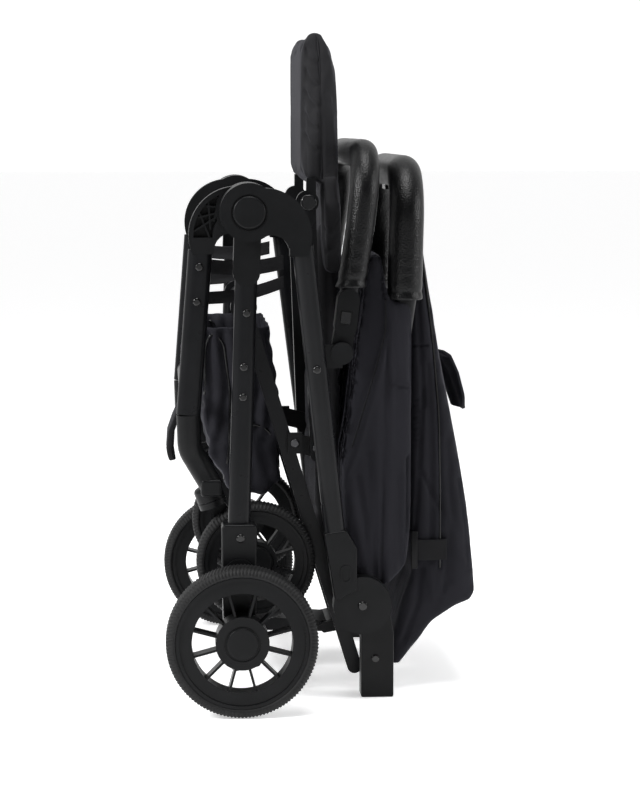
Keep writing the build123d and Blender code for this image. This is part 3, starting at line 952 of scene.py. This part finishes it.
@dataclass
class Hood:
    """Folded hood that wraps the handle's tubes, bunched in upright folds."""

    nodes: tuple[str, ...] = ("canopy_fabric", "canopy_side_panels", "canopy_skirt")
    outline: Line = (
        (0.36, 1.0), (0.48, 1.0), (0.54, 0.905), (0.62, 0.86), (0.95, 0.855), (1.0, 0.82), (1.0, 0.37),
        (0.985, 0.16), (0.92, 0.06), (0.6, 0.0), (0.28, 0.0), (0.04, 0.07), (-0.08, 0.15), (-0.12, 0.3),
        (-0.11, 0.4), (0.0, 0.51), (0.13, 0.735), (0.27, 0.93),
    )
    tube: Line = ((0.18, -0.04), (0.885, 0.85))
    tube_place: float = 0.148
    tube_radius: float = 0.0138
    panel: Line = (
        (0.53, 0.99), (0.57, 0.86), (0.57, 0.765), (0.38, 0.634), (0.03, 0.419), (-0.11, 0.365),
    )
    recess: float = 0.0075
    slope: float = 0.002
    inset: float = 0.0015
    filling: Filling = Filling(0.005, 1.0, 0.0012, 10)

    def folds(self) -> tuple[Fold, ...]:
        """The hanging folds, the diagonal seams and the hem of the near sides."""
        return (
            Fold(self.panel, -0.0034, 0.0016),
            Fold(((0.62, 0.86), (0.62, 0.765), (0.45, 0.62), (0.1, 0.4), (-0.05, 0.34)), 0.0016, 0.0024),
            Fold(((0.63, 0.86), (0.6, 0.66), (0.575, 0.49), (0.55, 0.27), (0.52, 0.005)), -0.0044, 0.0018),
            Fold(((0.67, 0.84), (0.66, 0.49), (0.64, 0.27), (0.6, 0.02)), 0.0016, 0.0032),
            Fold(((0.93, 0.39), (0.93, 0.16)), -0.0036, 0.0019),
            Fold(((0.8, 0.33), (0.83, 0.06)), -0.0022, 0.003),
            Fold(((0.62, 0.612), (0.8, 0.6), (0.99, 0.597)), -0.0022, 0.0011),
            Fold(((0.62, 0.624), (0.8, 0.612), (0.99, 0.609)), 0.0009, 0.0013),
            Fold(((0.66, 0.85), (0.72, 0.62)), -0.002, 0.002),
            Fold(((0.97, 0.83), (0.985, 0.62)), -0.002, 0.002),
            Fold(((0.3, 0.4), (0.38, 0.24), (0.34, 0.06)), -0.0022, 0.0042),
            Fold(((0.12, 0.33), (0.22, 0.22), (0.42, 0.02)), -0.0024, 0.0034),
            Fold(((0.02, 0.27), (0.14, 0.16), (0.3, 0.02)), 0.0012, 0.0038),
            Fold(((0.42, 0.62), (0.46, 0.36), (0.5, 0.14)), 0.0012, 0.006),
        )

    def pleats(self) -> tuple[Fold, ...]:
        """The upright folds of the front and the back."""
        found = []
        for k in range(11):
            place = 0.06 + 0.88 * k / 10.0
            sway = 0.012 * (-1.0) ** k
            front = ((place, 0.1), (place + sway, 0.5), (place, 0.96))
            back = ((place, 0.1), (place - sway, 0.5), (place, 0.8))
            found += [Fold(front, -0.004, 0.005, Facing.FRONT), Fold(back, -0.003, 0.005, Facing.BACK)]
        return tuple(found)

    def layer(self, hood: Piece, space: Space) -> None:
        """Sets each side's front strip back from its outer panel and rounds the cloth over the tubes."""
        edge = space.side(self.panel)
        (ax, az), (bx, bz) = space.side(self.tube)
        for vertex in hood.data.vertices:
            normal = abs(vertex.normal.y)
            if normal < 0.3:
                continue
            side = 1.0 if vertex.co.y > 0 else -1.0
            for (px, pz), (qx, qz) in zip(edge, edge[1:]):
                if qz <= vertex.co.z < pz:
                    limit = qx + (px - qx) * (vertex.co.z - qz) / (pz - qz)
                    depth = min(1.0, max(0.0, (limit - vertex.co.x) / self.slope))
                    vertex.co.y -= side * depth * self.recess
            share = (vertex.co.z - az) / (bz - az)
            gap = abs(vertex.co.x - ax - (bx - ax) * share)
            if gap < self.tube_radius:
                proud = self.tube_place + math.sqrt(self.tube_radius ** 2 - gap ** 2)
                vertex.co.y = side * max(abs(vertex.co.y), proud)

    def build(self, finishes: Finishes) -> None:
        """Makes the hood and its binding."""
        space = Space.of(*self.nodes)
        ends = (space.low.y + self.inset, space.high.y - self.inset)
        hood = self.filling.puff("hood_shell", space.side(self.outline), ends, 0.003)
        ripple(hood, 0.0014, 0.018, 5.0)
        room = Space(space.low - Vector((0.009, 0.0, 0.0)), space.high)
        room.hold(hood, -0.0012)
        crease(hood, space, self.folds())
        crease(hood, space, self.pleats())
        self.layer(hood, space)
        room.hold(hood, 0.0005)
        finishes.dress(hood, "hood_fabric")
        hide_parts(*self.nodes)
        middle = Space.of("canopy_bows").low.z + 0.0045
        edge = even(space.side(self.panel[1:-1]), 0.02)
        for binding in Skin(hood).cords("hood_binding", edge, 0.0002, 0.0011):
            finishes.dress(binding, "webbing")
            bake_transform(binding)
        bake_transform(hood)


@dataclass
class Backrest:
    """Reclining back: a soft shell with piped seams and a gathered edge."""

    node: str = "backrest_shell"
    body: str = "backrest"
    outline: Line = (
        (0.22, 0.99), (0.33, 1.0), (0.42, 0.88), (0.52, 0.765), (0.68, 0.6), (0.84, 0.435), (0.95, 0.29),
        (1.035, 0.135), (0.98, 0.118), (0.72, 0.1), (0.48, 0.066), (0.24, 0.004), (-0.01, -0.06),
        (-0.03, 0.02), (0.1, 0.12), (0.22, 0.18), (0.225, 0.55),
    )
    seams: tuple[Line, ...] = (
        ((0.345, 0.95), (0.475, 0.758), (0.555, 0.574), (0.58, 0.354), (0.575, 0.2)),
        ((0.348, 0.64), (0.29, 0.383), (0.245, 0.289)),
        ((0.34, 0.435), (0.575, 0.345)),
    )
    inset: float = 0.002
    filling: Filling = Filling(0.0048, 1.0, 0.0016, 10)

    def folds(self) -> tuple[Fold, ...]:
        """Seams, hanging folds and the quilting of the back."""
        found = [Fold(seam, -0.0026, 0.0018) for seam in self.seams]
        found += [
            Fold(((0.27, 0.9), (0.31, 0.76), (0.36, 0.6)), -0.003, 0.0022),
            Fold(((0.23, 0.747), (0.4, 0.747)), -0.0026, 0.0014),
            Fold(((0.41, 0.7), (0.46, 0.48), (0.46, 0.22)), -0.002, 0.0034),
            Fold(((0.66, 0.52), (0.72, 0.34), (0.7, 0.17)), -0.0018, 0.004),
            Fold(((0.98, 0.19), (0.8, 0.24), (0.62, 0.38)), 0.0014, 0.003),
            Fold(((0.62, 0.14), (0.66, 0.2), (0.6, 0.28)), -0.0022, 0.0026),
            Fold(((0.34, 0.2), (0.3, 0.12), (0.12, 0.02)), -0.0022, 0.003),
            Fold(((0.5, 0.12), (0.44, 0.2), (0.3, 0.25)), 0.0012, 0.004),
            Fold(((0.8, 0.42), (0.9, 0.3), (0.93, 0.2)), -0.0016, 0.0024),
        ]
        for k in range(9):
            v = 0.5 + 0.014 * k
            found.append(Fold(((0.22, v), (0.3, v + 0.004)), -0.0016, 0.0012))
        for place in (0.1, 0.5, 0.9):
            found.append(Fold(((place, 0.2), (place, 0.96)), -0.0026, 0.0028, Facing.BACK))
        found.append(Fold(((0.1, 0.3), (0.9, 0.3)), -0.0026, 0.0028, Facing.BACK))
        return tuple(found)

    def build(self, finishes: Finishes) -> None:
        """Makes the shell and its piping."""
        space = Space.of(self.node)
        ends = (space.low.y + self.inset, space.high.y - self.inset)
        shell = self.filling.puff("backrest_cover", space.side(self.outline), ends, 0.002)
        ripple(shell, 0.0014, 0.026, 4.0)
        low, high = Vector((0.001, -0.0004, 0.016)), Vector((0.005, -0.0004, 0.0))
        room = Space(space.low - low, space.high + high)
        room.hold(shell, 0.0)
        crease(shell, space, self.folds())
        room.hold(shell, 0.0006)
        finishes.dress(shell, "hood_fabric")
        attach(shell, self.body)
        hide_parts(self.node)
        line = even(space.side(self.seams[0]), 0.03)
        for cord in Skin(shell).cords("backrest_piping", line, 0.0006, 0.0012):
            finishes.dress(cord, "buttons")
            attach(cord, self.body)


@dataclass
class PullTab:
    """Soft flap that is pulled by hand, rounded at its free end."""

    node: str
    body: str
    slot: str
    thick: float
    line: Line
    twist: float = 0.0

    def build(self, finishes: Finishes) -> None:
        """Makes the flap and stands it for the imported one."""
        space = Space.of(self.node)
        points = even(space.side(self.line), 0.004)
        rows = 16
        low, high = space.low.y, space.high.y
        bm = bmesh.new()
        x, z = points[0]
        first = [bm.verts.new((x, low + (high - low) * k / rows, z)) for k in range(rows + 1)]
        edges = [bm.edges.new(pair) for pair in zip(first, first[1:])]
        for (ax, az), (bx, bz) in zip(points, points[1:]):
            edges = Sleeve.push(bm, edges, Vector((bx - ax, 0.0, bz - az)))
        half, middle = (high - low) / 2, (high + low) / 2
        for vertex in bm.verts:
            down = (space.high.z - vertex.co.z) / (space.high.z - space.low.z)
            narrow = 1.0 - 0.45 * max(0.0, down - 0.72) ** 2 / 0.078
            vertex.co.y = middle + (vertex.co.y - middle) * narrow
            vertex.co.x += 0.0012 * math.sin((vertex.co.y - middle) / half * 5.0 + down * 3.0)
            vertex.co.x -= (vertex.co.y - middle) * self.twist
        piece = to_object(bm, self.node + "_flap")
        modifier(piece, "SOLIDIFY", thickness=self.thick, offset=0.0)
        modifier(piece, "BEVEL", width=self.thick * 0.32, segments=3)
        finishes.dress(piece, self.slot)
        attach(piece, self.body)
        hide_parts(self.node)


@dataclass
class Basket:
    """Soft shopping basket that sags between the legs, with piped pouches."""

    node: str = "basket"
    body: str = "rear_frame"
    outline: Line = (
        (0.2, 0.985), (0.06, 0.914), (0.012, 0.796), (0.06, 0.73), (0.18, 0.66), (0.195, 0.516), (0.26, 0.258),
        (0.47, 0.045), (0.82, 0.015), (0.965, 0.12), (0.985, 0.516), (0.86, 0.985),
    )
    cords: tuple[Line, ...] = (
        ((0.235, 0.6), (0.235, 0.88), (0.3, 0.965), (0.42, 0.9), (0.48, 0.6), (0.47, 0.3), (0.42, 0.11)),
        ((0.46, 0.36), (0.62, 0.43), (0.84, 0.41), (0.95, 0.28), (0.945, 0.08)),
    )
    mesh_size: float = 0.0045

    def folds(self) -> tuple[Fold, ...]:
        """The slack folds of its sides and front."""
        found = []
        for k in range(5):
            u = 0.26 + 0.15 * k
            found.append(Fold(((u, 0.95), (u + 0.05, 0.62), (u - 0.03, 0.34)), -0.0052, 0.0052))
            found.append(Fold(((u - 0.05, 0.45), (u + 0.02, 0.24), (u + 0.1, 0.06)), 0.0038, 0.006))
        for k in range(7):
            v = 0.14 + 0.12 * k
            sway = 0.05 * math.sin(k * 2.4)
            front = ((0.04, v + sway), (0.5, v - 0.05), (0.96, v + 0.02))
            back = ((0.04, v + 0.05), (0.5, v), (0.96, v - sway))
            found += [Fold(front, -0.0026, 0.0066, Facing.FRONT), Fold(back, -0.0022, 0.0066, Facing.BACK)]
        return tuple(found)

    def build(self, finishes: Finishes) -> None:
        """Makes the open bag and its piping."""
        space = Space.of(self.node)
        bm = slab(space.side(self.outline), space.low.y + 0.002, space.high.y - 0.002)
        lid = max(bm.faces, key=lambda f: f.calc_center_median().z)
        bmesh.ops.delete(bm, geom=[lid], context="FACES")
        bmesh.ops.triangulate(bm, faces=bm.faces[:])
        for _ in range(5):
            longest = [e for e in bm.edges if e.calc_length() > self.mesh_size]
            bmesh.ops.subdivide_edges(bm, edges=longest, cuts=1)
            bmesh.ops.triangulate(bm, faces=[f for f in bm.faces if len(f.verts) > 4])
        inner = [v for v in bm.verts if not v.is_boundary]
        axes = dict.fromkeys(("use_axis_x", "use_axis_y", "use_axis_z"), True)
        for _ in range(6):
            bmesh.ops.smooth_vert(bm, verts=inner, factor=0.5, **axes)
        bag = to_object(bm, "basket_bag")
        for vertex in bag.data.vertices:
            drop = (vertex.co.z - space.low.z) / (space.high.z - space.low.z)
            vertex.co.y *= 1.0 - 0.05 * math.sin(drop * math.pi)
        ripple(bag, 0.0024, 0.024, 1.5)
        crease(bag, space, self.folds())
        space.hold(bag, 0.0)
        modifier(bag, "SOLIDIFY", thickness=0.0016, offset=-1.0)
        finishes.dress(bag, "hood_fabric")
        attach(bag, self.body)
        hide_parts(self.node)
        skin = Skin(bag)
        for number, line in enumerate(self.cords, 1):
            for cord in skin.cords(f"basket_piping_{number}", even(space.side(line), 0.02), 0.0003, 0.0014):
                finishes.dress(cord, "buttons")
                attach(cord, self.body)


@dataclass
class SeatCover:
    """Side of the seat's cloth that runs on from the leg rest, across its hinge."""

    inset: float = 0.0035
    filling: Filling = Filling(0.0046, 1.5, 0.002, 10)

    def build(self, finishes: Finishes) -> None:
        """Makes the cover."""
        rest, seat = Space.of("leg_rest_pad"), Space.of("seat_pad")
        left, right = rest.x(0.52), rest.high.x + 0.0005
        foot, top = seat.z(0.84), rest.z(0.16)
        outline = [
            (left, top), (right - 0.001, top), (right + 0.001, rest.low.z - 0.012),
            (right + 0.003, foot + 0.012), (right + 0.002, foot), (left + 0.005, foot),
            (left + 0.003, rest.low.z - 0.01),
        ]
        half = rest.high.y - self.inset
        cover = self.filling.puff("seat_side_cover", outline, (-half, half), 0.003)
        ripple(cover, 0.0012, 0.02, 3.0)
        space = Space(Vector((left, -half, foot)), Vector((right + 0.003, half, top)))
        crease(cover, space, (
            Fold(((0.06, 1.0), (0.1, 0.5), (0.2, 0.0)), -0.0026, 0.002),
            Fold(((0.9, 0.55), (0.5, 0.4), (0.15, 0.45)), -0.002, 0.0024),
            Fold(((0.95, 0.42), (0.6, 0.26), (0.3, 0.22)), -0.0018, 0.0024),
        ))
        space.hold(cover, 0.001)
        finishes.dress(cover, "seat_fabric")
        hinge = Space.of("seat_pins").high.z - 0.005
        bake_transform(cover)


@dataclass
class ReclineStraps:
    """Elastic straps with their buckles, one on each side of the back."""

    node: str = "recline_straps"
    body: str = "backrest"
    width: float = 0.022
    buckle: Point = (0.007, 0.0024)

    def build(self, finishes: Finishes) -> None:
        """Makes both straps and buckles."""
        space = Space.of(self.node)
        middle = (space.low.z + space.high.z) / 2
        for side, sign in SIDES.items():
            place = sign * (space.high.y - 0.0042)
            start, end = (space.x(0.06), middle), (space.high.x, middle)
            strap = Strap(f"recline_strap_{side}", start, end, self.width, place, 0.0006).build(finishes)
            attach(strap, self.body)
            bm = bmesh.new()
            bmesh.ops.create_cube(bm, size=1.0)
            bmesh.ops.scale(bm, verts=bm.verts[:], vec=(*self.buckle, space.high.z - space.low.z))
            spot = (space.x(0.08), sign * (space.high.y - 0.0013), middle)
            bmesh.ops.translate(bm, verts=bm.verts[:], vec=spot)
            bevel_all(bm, 0.0009, 3)
            buckle = to_object(bm, f"strap_buckle_{side}")
            finishes.dress(buckle, "moulded_plastic")
            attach(buckle, self.body)
        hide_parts(self.node)


@dataclass
class SideWebbing:
    """Two straps on each side between the front and rear legs."""

    node: str = "side_webbing"

    def build(self, finishes: Finishes) -> None:
        """Makes the four straps."""
        space = Space.of(self.node)
        pairs = (
            (((0.02, 0.8), (1.0, 0.88)), 0.015),
            (((0.0, 0.13), (1.0, 0.46)), 0.013),
        )
        first = None
        for side, sign in SIDES.items():
            place = sign * (space.high.y - 0.001)
            for number, (line, width) in enumerate(pairs, 1):
                start, end = space.side(line)
                strap = Strap(f"side_strap_{number}_{side}", start, end, width, place).build(finishes)
                bake(strap)
                start, end = (space.x(0.85), 0, 0.45), (space.x(0.1), 0, 0.45)
                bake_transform(strap)
                first = first or strap
        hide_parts(self.node)


@dataclass(frozen=True)
class Lamp:
    """An area light: its place, the length of its side and its power."""

    name: str
    place: tuple[float, float, float]
    size: float
    power: float

    def build(self, aim: Vector) -> None:
        """Hangs the light, facing a point."""
        data = bpy.data.lights.new(self.name, "AREA")
        data.shape = "SQUARE"
        data.size = self.size
        data.energy = self.power
        lamp = bpy.data.objects.new(self.name, data)
        lamp.location = self.place
        lamp.rotation_euler = (aim - Vector(self.place)).to_track_quat("-Z", "Y").to_euler()
        bpy.context.scene.collection.objects.link(lamp)


class Studio:
    """Pale floor, soft light and the camera."""

    lamps = (
        Lamp("key", (-1.5, -1.0, 1.3), 0.6, 42.0),
        Lamp("fill", (1.7, -0.5, 0.9), 0.6, 14.0),
        Lamp("top", (0.0, -0.5, 2.2), 1.0, 34.0),
    )
    front_to_back = (-0.75, 0.55)
    dim_to_bright = (0.05, 0.85)
    seen_white = 1.1
    glow = 0.5
    lens = 107.2
    stand_off = 2.35
    camera_height = 0.599
    look = (0.162, 2.35, -0.2685)

    def __init__(self) -> None:
        """Reads the object's box."""
        low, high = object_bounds()
        self.low, self.high = Vector(low), Vector(high)

    def floor(self) -> None:
        """A wide pale floor."""
        bm = bmesh.new()
        bmesh.ops.create_grid(bm, x_segments=4, y_segments=4, size=30.0)
        bmesh.ops.translate(bm, verts=bm.verts[:], vec=(0.0, 0.0, self.low.z - 0.0002))
        floor = to_object(bm, "floor")
        shader = Shader("pale floor")
        shader.values(Base_Color=(0.86, 0.86, 0.865, 1.0), Roughness=0.6, Specular_IOR_Level=0.25)
        shader.values(Emission_Color=(1.0, 1.0, 1.0, 1.0), Emission_Strength=self.glow)
        floor.data.materials.append(shader.material)
        floor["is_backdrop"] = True

    def world(self) -> None:
        """White to the eye, softer as light, with a darker front."""
        world = bpy.data.worlds.new("studio")
        bpy.context.scene.world = world
        world.use_nodes = True
        tree = world.node_tree
        tree.nodes.clear()
        (near, far), (dim, bright), white = self.front_to_back, self.dim_to_bright, (1.0, 1.0, 1.0, 1.0)
        coords = add_node(tree, "TexCoord", {})
        split = add_node(tree, "SeparateXYZ", {"Vector": coords.outputs["Generated"]})
        feeds = {"Value": split.outputs["Y"]}
        ramp = add_node(tree, "MapRange", feeds, From_Min=near, From_Max=far, To_Min=dim, To_Max=bright)
        light = add_node(tree, "Background", {"Strength": ramp.outputs["Result"]}, Color=white)
        seen = add_node(tree, "Background", {}, Color=white, Strength=self.seen_white)
        path = add_node(tree, "LightPath", {})
        shades = {1: light.outputs["Background"], 2: seen.outputs["Background"]}
        mix = add_node(tree, "MixShader", {"Fac": path.outputs["Is Camera Ray"], **shades})
        add_node(tree, "OutputWorld", {"Surface": mix.outputs["Shader"]})

    def camera(self) -> None:
        """The camera, low and a little to the front of the object."""
        data = bpy.data.cameras.new("camera")
        data.lens = self.lens
        data.sensor_width = 36.0
        camera = bpy.data.objects.new("camera", data)
        away = Vector((-0.0055, -self.stand_off, self.camera_height))
        camera.location = self.low + away
        camera.rotation_euler = Vector(self.look).to_track_quat("-Z", "Y").to_euler()
        bpy.context.scene.collection.objects.link(camera)
        bpy.context.scene.camera = camera

    def build(self) -> None:
        """Sets up the studio."""
        self.floor()
        self.world()
        for lamp in self.lamps:
            lamp.build((self.low + self.high) / 2)
        self.camera()
        bpy.context.scene.view_settings.view_transform = "Standard"


def build_wheels(finishes: Finishes) -> None:
    """Dresses the four wheels in knurled tyres."""
    for side in SIDES:
        Tyre(f"rear_tyre_{side}", f"rear_rim_{side}", f"rear_wheel_{side}").build(finishes)
        Tyre(f"front_tyre_{side}", f"front_rim_{side}", f"front_wheel_{side}", 0.005, 96).build(finishes)


def build_covers(finishes: Finishes) -> None:
    """Covers the handle and the bumper bar."""
    grip = Space.of("handle_grip")
    inset = 0.018
    straight = ((grip.low.z, grip.low.x + inset), (grip.high.z - inset, grip.high.x - inset))
    Sleeve("handle_grip", "handle_upper", 0.0182, 0.052, grip.low.z, straight).build(finishes)
    bar = Space.of("bumper_cover")
    start = Space.of("bumper_tube").low.z
    inset = 0.0145
    front, back = bar.low.x + inset, bar.high.x - inset
    rise = bar.high.z - inset - start
    shares = [k / 8.0 for k in range(9)]
    lean = tuple((start + rise * u, front + (back - front) * (1 - (1 - u) ** 1.5)) for u in shares)
    Sleeve("bumper_cover", "bumper_bar", 0.0151, 0.046, start + 0.014, lean, 0.0003).build(finishes)


def main() -> None:
    """Builds the stroller's looks piece by piece."""
    logging.basicConfig(level=logging.INFO, format="%(message)s")
    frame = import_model()
    finishes = Finishes()
    finishes.dress_frame(frame)
    build_wheels(finishes)
    LOG.info("wheels done")
    build_covers(finishes)
    LOG.info("handle and bumper covers done")
    back_line = ((0.1, 0.93), (0.3, 0.86), (0.52, 0.6), (0.7, 0.27), (0.8, 0.03))
    front_line = ((0.9, 0.96), (0.45, 0.66), (0.22, 0.45), (0.17, 0.22), (0.26, 0.03))
    parts = (
        LegRest(), SeatPad(), SeatCover(), Hood(), Backrest(), Basket(), ReclineStraps(), SideWebbing(),
        PullTab("backrest_tab", "backrest", "hood_fabric", 0.0042, back_line, 0.16),
        PullTab("front_pull_tab", "front_frame", "seat_fabric", 0.0062, front_line),
    )
    for part in parts:
        part.build(finishes)
        LOG.info("%s done", type(part).__name__)
    Studio().build()


if __name__ == "__main__":
    main()
